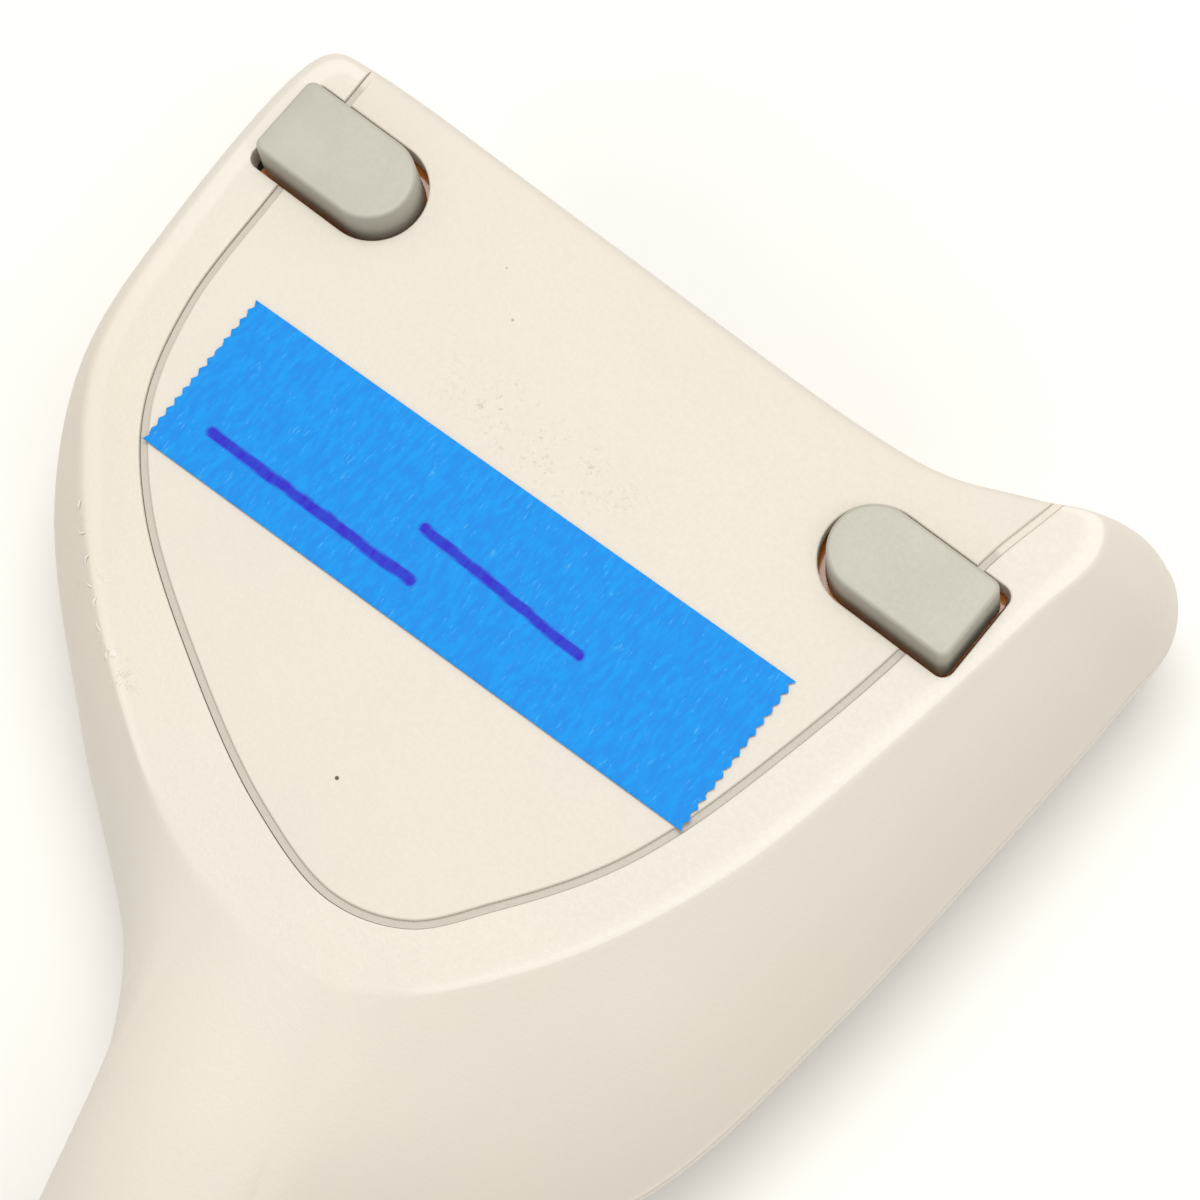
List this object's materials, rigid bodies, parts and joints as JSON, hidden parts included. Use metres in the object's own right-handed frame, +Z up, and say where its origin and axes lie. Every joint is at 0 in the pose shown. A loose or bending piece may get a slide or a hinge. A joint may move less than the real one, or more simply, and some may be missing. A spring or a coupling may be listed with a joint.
{
  "type": "handpiece connector plug",
  "caption": "Flat fan-shaped plug for the end of a treatment handpiece cable, with sprung release buttons on top, latch hooks, a recessed mating face and a cable gland.",
  "frame": {"origin": "centre of the box's underside, level with the rubber feet", "axes": "+X across the plug to the right, +Y towards the console (mating face), +Z up through the flat top"},
  "size_m": [0.1454, 0.1782, 0.0425],
  "materials": {
    "housing_plastic": "satin, fine spark texture, warm grey-beige",
    "panel_plastic": "flat matte, a little lighter than the shells",
    "button_plastic": "satin grey-green",
    "amber_insulator": "clear amber, polished",
    "dark_plastic": "satin black",
    "steel": "satin stainless",
    "brass": "turned, bright",
    "rubber": "matte black",
    "board": "green solder mask",
    "tube": "milky polyurethane",
    "red_lead": "silicone-insulated lead",
    "grey_lead": "grey jacket",
    "tape": "blue creped paper tape"
  },
  "bodies": {
    "housing": {"upper_shell": "housing_plastic", "lower_shell": "housing_plastic", "top_panel": "panel_plastic", "mating_block": "dark_plastic", "lamp_insulator": "amber_insulator", "signal_socket": "dark_plastic", "memory_can": "steel", "lamp_contact_left": "brass", "lamp_contact_right": "brass", "guide_pin_left": "steel", "guide_pin_right": "steel", "coolant_coupling_supply": "steel", "coolant_coupling_return": "steel", "coupling_seal_supply": "rubber", "coupling_seal_return": "rubber", "circuit_board": "board", "coolant_tube_supply": "tube", "coolant_tube_return": "tube", "lamp_lead_left": "red_lead", "lamp_lead_right": "red_lead", "signal_cable": "grey_lead", "cable_clamp_upper": "dark_plastic", "cable_clamp_lower": "dark_plastic", "clamp_screw_left": "steel", "clamp_screw_right": "steel", "gland_body": "dark_plastic", "gland_nut": "dark_plastic", "shell_screw_1": "steel", "shell_screw_2": "steel", "shell_screw_3": "steel", "shell_screw_4": "steel", "foot_1": "rubber", "foot_2": "rubber", "foot_3": "rubber", "foot_4": "rubber", "tape_label": "tape", "button_spring_left": "steel", "button_spring_right": "steel", "latch_pin_left": "steel", "latch_pin_right": "steel", "latch_bracket_left": "steel", "latch_bracket_right": "steel", "recess_rail_upper": "dark_plastic", "recess_rail_lower": "dark_plastic", "recess_cheek_left": "dark_plastic", "recess_cheek_right": "dark_plastic"},
    "button_left": {"release_button_left": "button_plastic", "button_carrier_left": "amber_insulator"},
    "latch_left": {"latch_lever_left": "steel"},
    "button_right": {"release_button_right": "button_plastic", "button_carrier_right": "amber_insulator"},
    "latch_right": {"latch_lever_right": "steel"}
  },
  "joints": [
    {"name": "button_press_left", "type": "slide", "parent": "housing", "child": "button_left", "axis": [0, 0, -1], "range_m": [0, 0.002], "stiffness_N_per_m": 800, "springref_m": -0.0015, "deforming": ["button_spring_left"]},
    {"name": "latch_lift_left", "type": "hinge", "parent": "housing", "child": "latch_left", "pos_m": [-0.05103, 0.0675, 0.024], "axis": [1, 0, 0], "range_deg": [0, 11.5]},
    {"name": "button_press_right", "type": "slide", "parent": "housing", "child": "button_right", "axis": [0, 0, -1], "range_m": [0, 0.002], "stiffness_N_per_m": 800, "springref_m": -0.0015, "deforming": ["button_spring_right"]},
    {"name": "latch_lift_right", "type": "hinge", "parent": "housing", "child": "latch_right", "pos_m": [0.04297, 0.0675, 0.024], "axis": [1, 0, 0], "range_deg": [0, 11.5]}
  ],
  "couplings": [
    {"joint": "latch_lift_left", "follows": "button_press_left", "rad_per_m": 100.35},
    {"joint": "latch_lift_right", "follows": "button_press_right", "rad_per_m": 100.35}
  ]
}
